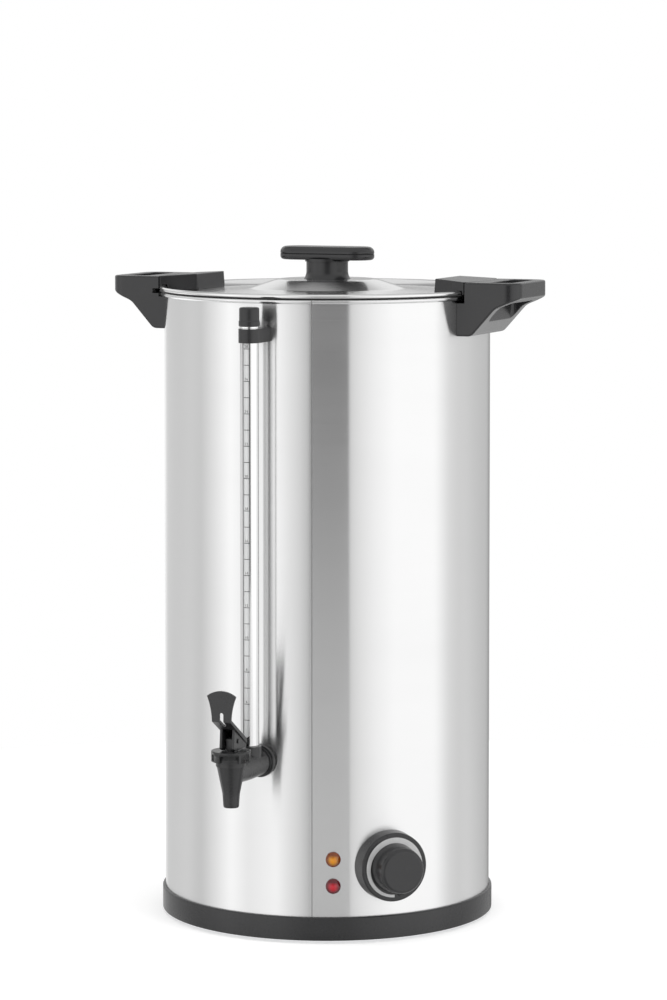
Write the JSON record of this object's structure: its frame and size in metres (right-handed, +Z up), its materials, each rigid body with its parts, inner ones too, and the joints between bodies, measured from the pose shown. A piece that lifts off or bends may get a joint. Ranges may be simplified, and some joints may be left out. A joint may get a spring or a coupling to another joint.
{
  "type": "hot water urn",
  "caption": "Electric hot water urn: steel cylinder on a moulded base, turn-lock lid with knob, side handles, lever tap with sight gauge, thermostat dial and indicator lamps.",
  "frame": {"origin": "on the vessel's axis, in the plane the feet rest on", "axes": "+Z up along the vessel's axis, tap towards -Y, handles towards -X and +X"},
  "size_m": [0.403, 0.403, 0.6147],
  "materials": {
    "brushed_steel_wall": "brushed around, satin",
    "bright_steel_lid": "spun, fine concentric brushing",
    "tank_steel": "satin",
    "base_plastic": "fine moulded grain",
    "black_plastic": "smooth satin",
    "cap_plastic": "satin gloss",
    "tap_plastic": "smooth satin",
    "rubber_black": "matt",
    "silicone": "translucent matt",
    "zinc_steel": "zinc plated",
    "guard_steel": "polished",
    "clear_tube": "clear",
    "foil": "satin foil",
    "lens_amber": "clear amber, ribbed inside",
    "lens_red": "clear red, ribbed inside",
    "lamp_plastic": "moulded",
    "heater_aluminium": "cast, satin",
    "element_steel": "heat tinted",
    "ceramic_white": "steatite",
    "spring_steel": "drawn wire",
    "shaft_steel": "turned",
    "thermostat_steel": "pressed",
    "brass": "turned"
  },
  "bodies": {
    "urn": {"base_ring": "base_plastic", "bottom_plate": "zinc_steel", "bottom_screws": "zinc_steel", "rubber_feet": "rubber_black", "vessel_shell": "brushed_steel_wall", "tank_floor": "tank_steel", "handle_right": "black_plastic", "handle_left": "black_plastic", "handle_screws_right": "zinc_steel", "handle_screws_left": "zinc_steel", "tap_body": "tap_plastic", "tap_gasket": "rubber_black", "tap_inner_gasket": "rubber_black", "tap_nut": "tap_plastic", "tap_bonnet": "tap_plastic", "tap_spring": "spring_steel", "gauge_tube": "clear_tube", "gauge_guard": "guard_steel", "gauge_seal": "rubber_black", "gauge_ring": "guard_steel", "gauge_cap": "cap_plastic", "gauge_clip": "cap_plastic", "gauge_clip_screw": "zinc_steel", "dial_bezel": "base_plastic", "dial_scale_arc": "foil", "thermostat_body": "thermostat_steel", "thermostat_nut": "brass", "lamp_lens_amber": "lens_amber", "lamp_lens_red": "lens_red", "lamp_bodies": "lamp_plastic", "heater_plate": "heater_aluminium", "heating_element": "element_steel", "boil_dry_cutout": "ceramic_white", "terminal_block": "ceramic_white", "cord_gland": "cap_plastic", "gland_nut": "cap_plastic"},
    "seal": {"lid_seal": "rubber_black"},
    "lid": {"lid_shell": "bright_steel_lid", "lid_wing_right": "black_plastic", "lid_wing_left": "black_plastic", "wing_screws": "zinc_steel", "knob_stem": "black_plastic", "knob_grip_lower": "black_plastic", "knob_grip_upper": "black_plastic", "knob_washer": "zinc_steel", "knob_screw": "zinc_steel"},
    "tap_plunger": {"tap_stem": "tap_plastic", "tap_seat_cup": "silicone", "lever_pin": "tap_plastic"},
    "lever": {"tap_lever": "tap_plastic"},
    "dial": {"dial_knob": "black_plastic", "dial_shaft": "shaft_steel"}
  },
  "joints": [
    {"name": "lid_lift", "type": "slide", "parent": "urn", "child": "seal", "axis": [0, 0, 1], "range_m": [0, 0.2]},
    {"name": "lid_turn", "type": "hinge", "parent": "seal", "child": "lid", "pos_m": [0, 0, 0.5738], "axis": [0, 0, 1], "range_deg": [0, 40]},
    {"name": "tap_lift", "type": "slide", "parent": "urn", "child": "tap_plunger", "axis": [0, 0, 1], "range_m": [0, 0.00251], "stiffness_N_per_m": 600, "springref_m": -0.006, "deforming": ["tap_spring"]},
    {"name": "tap_pull", "type": "hinge", "parent": "tap_plunger", "child": "lever", "pos_m": [0, -0.215, 0.1907], "axis": [1, 0, 0], "range_deg": [0, 40]},
    {"name": "dial_turn", "type": "hinge", "parent": "urn", "child": "dial", "pos_m": [0.11214, -0.11412, 0.0687], "axis": [0.7009, -0.7133, 0], "range_deg": [-270, 0]}
  ],
  "couplings": [
    {"joint": "tap_pull", "follows": "tap_lift", "rad_per_m": 277.78}
  ]
}
